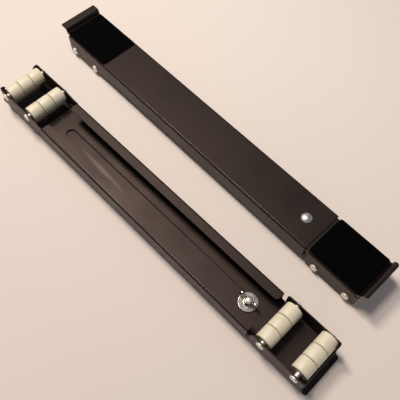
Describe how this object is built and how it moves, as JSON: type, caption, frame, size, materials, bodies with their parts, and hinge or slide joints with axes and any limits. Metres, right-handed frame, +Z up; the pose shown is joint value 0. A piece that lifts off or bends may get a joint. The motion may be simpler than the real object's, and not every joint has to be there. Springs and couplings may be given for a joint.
{
  "type": "telescopic appliance roller rails",
  "caption": "Telescopic appliance roller rails of pressed steel with nylon rollers under padded ends; a slotted inner channel slides out and is clamped by a bolt and wing nut.",
  "frame": {"origin": "on the floor under the middle of the pair's bounding box", "axes": "+X along the upright rail towards the end that slides out, +Y from the turned rail to the upright one, +Z up"},
  "size_m": [0.4946, 0.164, 0.0354],
  "materials": {
    "coat": "satin powder coat",
    "nylon": "satin",
    "foam": "matte",
    "bright_plate": "bright plated"
  },
  "bodies": {
    "upright_outer": {"upright_outer_channel": "coat", "upright_outer_pad": "foam", "upright_axle_1": "bright_plate", "upright_axle_2": "bright_plate", "upright_bolt": "bright_plate"},
    "upright_inner": {"upright_inner_channel": "coat", "upright_inner_pad": "foam", "upright_axle_3": "bright_plate", "upright_axle_4": "bright_plate"},
    "upright_wheel_1a": {"upright_wheel_1a": "nylon"},
    "upright_wheel_1b": {"upright_wheel_1b": "nylon"},
    "upright_wheel_1c": {"upright_wheel_1c": "nylon"},
    "upright_wheel_2a": {"upright_wheel_2a": "nylon"},
    "upright_wheel_2b": {"upright_wheel_2b": "nylon"},
    "upright_wheel_2c": {"upright_wheel_2c": "nylon"},
    "upright_wheel_3a": {"upright_wheel_3a": "nylon"},
    "upright_wheel_3b": {"upright_wheel_3b": "nylon"},
    "upright_wheel_3c": {"upright_wheel_3c": "nylon"},
    "upright_wheel_4a": {"upright_wheel_4a": "nylon"},
    "upright_wheel_4b": {"upright_wheel_4b": "nylon"},
    "upright_wheel_4c": {"upright_wheel_4c": "nylon"},
    "upright_washer": {"upright_washer": "bright_plate"},
    "upright_wing_nut": {"upright_wing_nut": "bright_plate"},
    "turned_outer": {"turned_outer_channel": "coat", "turned_outer_pad": "foam", "turned_axle_1": "bright_plate", "turned_axle_2": "bright_plate", "turned_bolt": "bright_plate"},
    "turned_inner": {"turned_inner_channel": "coat", "turned_inner_pad": "foam", "turned_axle_3": "bright_plate", "turned_axle_4": "bright_plate"},
    "turned_wheel_1a": {"turned_wheel_1a": "nylon"},
    "turned_wheel_1b": {"turned_wheel_1b": "nylon"},
    "turned_wheel_1c": {"turned_wheel_1c": "nylon"},
    "turned_wheel_2a": {"turned_wheel_2a": "nylon"},
    "turned_wheel_2b": {"turned_wheel_2b": "nylon"},
    "turned_wheel_2c": {"turned_wheel_2c": "nylon"},
    "turned_wheel_3a": {"turned_wheel_3a": "nylon"},
    "turned_wheel_3b": {"turned_wheel_3b": "nylon"},
    "turned_wheel_3c": {"turned_wheel_3c": "nylon"},
    "turned_wheel_4a": {"turned_wheel_4a": "nylon"},
    "turned_wheel_4b": {"turned_wheel_4b": "nylon"},
    "turned_wheel_4c": {"turned_wheel_4c": "nylon"},
    "turned_washer": {"turned_washer": "bright_plate"},
    "turned_wing_nut": {"turned_wing_nut": "bright_plate"}
  },
  "joints": [
    {"name": "upright_extension", "type": "slide", "parent": "upright_outer", "child": "upright_inner", "axis": [1, 0, 0], "range_m": [0, 0.2771]},
    {"name": "upright_wheel_1a_roll", "type": "hinge", "parent": "upright_outer", "child": "upright_wheel_1a", "pos_m": [-0.22374, 0.03928, 0.0092], "axis": [0, 1, 0], "continuous": true},
    {"name": "upright_wheel_1b_roll", "type": "hinge", "parent": "upright_outer", "child": "upright_wheel_1b", "pos_m": [-0.22374, 0.05415, 0.0092], "axis": [0, 1, 0], "continuous": true},
    {"name": "upright_wheel_1c_roll", "type": "hinge", "parent": "upright_outer", "child": "upright_wheel_1c", "pos_m": [-0.22374, 0.06901, 0.0092], "axis": [0, 1, 0], "continuous": true},
    {"name": "upright_wheel_2a_roll", "type": "hinge", "parent": "upright_outer", "child": "upright_wheel_2a", "pos_m": [-0.18354, 0.03928, 0.0092], "axis": [0, 1, 0], "continuous": true},
    {"name": "upright_wheel_2b_roll", "type": "hinge", "parent": "upright_outer", "child": "upright_wheel_2b", "pos_m": [-0.18354, 0.05415, 0.0092], "axis": [0, 1, 0], "continuous": true},
    {"name": "upright_wheel_2c_roll", "type": "hinge", "parent": "upright_outer", "child": "upright_wheel_2c", "pos_m": [-0.18354, 0.06901, 0.0092], "axis": [0, 1, 0], "continuous": true},
    {"name": "upright_wheel_3a_roll", "type": "hinge", "parent": "upright_inner", "child": "upright_wheel_3a", "pos_m": [0.17146, 0.03928, 0.0092], "axis": [0, 1, 0], "continuous": true},
    {"name": "upright_wheel_3b_roll", "type": "hinge", "parent": "upright_inner", "child": "upright_wheel_3b", "pos_m": [0.17146, 0.05415, 0.0092], "axis": [0, 1, 0], "continuous": true},
    {"name": "upright_wheel_3c_roll", "type": "hinge", "parent": "upright_inner", "child": "upright_wheel_3c", "pos_m": [0.17146, 0.06901, 0.0092], "axis": [0, 1, 0], "continuous": true},
    {"name": "upright_wheel_4a_roll", "type": "hinge", "parent": "upright_inner", "child": "upright_wheel_4a", "pos_m": [0.21166, 0.03688, 0.0092], "axis": [0, 1, 0], "continuous": true},
    {"name": "upright_wheel_4b_roll", "type": "hinge", "parent": "upright_inner", "child": "upright_wheel_4b", "pos_m": [0.21166, 0.05175, 0.0092], "axis": [0, 1, 0], "continuous": true},
    {"name": "upright_wheel_4c_roll", "type": "hinge", "parent": "upright_inner", "child": "upright_wheel_4c", "pos_m": [0.21166, 0.06661, 0.0092], "axis": [0, 1, 0], "continuous": true},
    {"name": "upright_washer_follow", "type": "slide", "parent": "upright_outer", "child": "upright_washer", "axis": [0, 0, -1], "range_m": [0, 0.00161]},
    {"name": "upright_wing_nut_turn", "type": "hinge", "parent": "upright_washer", "child": "upright_wing_nut", "pos_m": [0.13386, 0.05415, 0.0249], "axis": [0, 0, -1], "range_deg": [0, 720]},
    {"name": "turned_rail_place", "type": "slide", "parent": "upright_outer", "child": "turned_outer", "axis": [0, 1, 0], "range_m": [-0.4, 0.035]},
    {"name": "turned_extension", "type": "slide", "parent": "turned_outer", "child": "turned_inner", "axis": [0.9997, 0.0236, 0], "range_m": [0, 0.2771]},
    {"name": "turned_wheel_1a_roll", "type": "hinge", "parent": "turned_outer", "child": "turned_wheel_1a", "pos_m": [-0.20639, -0.03929, 0.0262], "axis": [0.0236, -0.9997, 0], "continuous": true},
    {"name": "turned_wheel_1b_roll", "type": "hinge", "parent": "turned_outer", "child": "turned_wheel_1b", "pos_m": [-0.20604, -0.05415, 0.0262], "axis": [0.0236, -0.9997, 0], "continuous": true},
    {"name": "turned_wheel_1c_roll", "type": "hinge", "parent": "turned_outer", "child": "turned_wheel_1c", "pos_m": [-0.20569, -0.06902, 0.0262], "axis": [0.0236, -0.9997, 0], "continuous": true},
    {"name": "turned_wheel_2a_roll", "type": "hinge", "parent": "turned_outer", "child": "turned_wheel_2a", "pos_m": [-0.1662, -0.03834, 0.0262], "axis": [0.0236, -0.9997, 0], "continuous": true},
    {"name": "turned_wheel_2b_roll", "type": "hinge", "parent": "turned_outer", "child": "turned_wheel_2b", "pos_m": [-0.16586, -0.05321, 0.0262], "axis": [0.0236, -0.9997, 0], "continuous": true},
    {"name": "turned_wheel_2c_roll", "type": "hinge", "parent": "turned_outer", "child": "turned_wheel_2c", "pos_m": [-0.16551, -0.06807, 0.0262], "axis": [0.0236, -0.9997, 0], "continuous": true},
    {"name": "turned_wheel_3a_roll", "type": "hinge", "parent": "turned_inner", "child": "turned_wheel_3a", "pos_m": [0.1887, -0.02998, 0.0262], "axis": [0.0236, -0.9997, 0], "continuous": true},
    {"name": "turned_wheel_3b_roll", "type": "hinge", "parent": "turned_inner", "child": "turned_wheel_3b", "pos_m": [0.18905, -0.04484, 0.0262], "axis": [0.0236, -0.9997, 0], "continuous": true},
    {"name": "turned_wheel_3c_roll", "type": "hinge", "parent": "turned_inner", "child": "turned_wheel_3c", "pos_m": [0.1894, -0.05971, 0.0262], "axis": [0.0236, -0.9997, 0], "continuous": true},
    {"name": "turned_wheel_4a_roll", "type": "hinge", "parent": "turned_inner", "child": "turned_wheel_4a", "pos_m": [0.22883, -0.02663, 0.0262], "axis": [0.0236, -0.9997, 0], "continuous": true},
    {"name": "turned_wheel_4b_roll", "type": "hinge", "parent": "turned_inner", "child": "turned_wheel_4b", "pos_m": [0.22918, -0.0415, 0.0262], "axis": [0.0236, -0.9997, 0], "continuous": true},
    {"name": "turned_wheel_4c_roll", "type": "hinge", "parent": "turned_inner", "child": "turned_wheel_4c", "pos_m": [0.22953, -0.05636, 0.0262], "axis": [0.0236, -0.9997, 0], "continuous": true},
    {"name": "turned_washer_follow", "type": "slide", "parent": "turned_outer", "child": "turned_washer", "axis": [0, 0, 1], "range_m": [0, 0.00161]},
    {"name": "turned_wing_nut_turn", "type": "hinge", "parent": "turned_washer", "child": "turned_wing_nut", "pos_m": [0.15146, -0.04573, 0.0105], "axis": [0, 0, 1], "range_deg": [0, 720]}
  ],
  "couplings": [
    {"joint": "upright_washer_follow", "follows": "upright_wing_nut_turn", "m_per_rad": 0.00012732},
    {"joint": "turned_washer_follow", "follows": "turned_wing_nut_turn", "m_per_rad": 0.00012732}
  ]
}
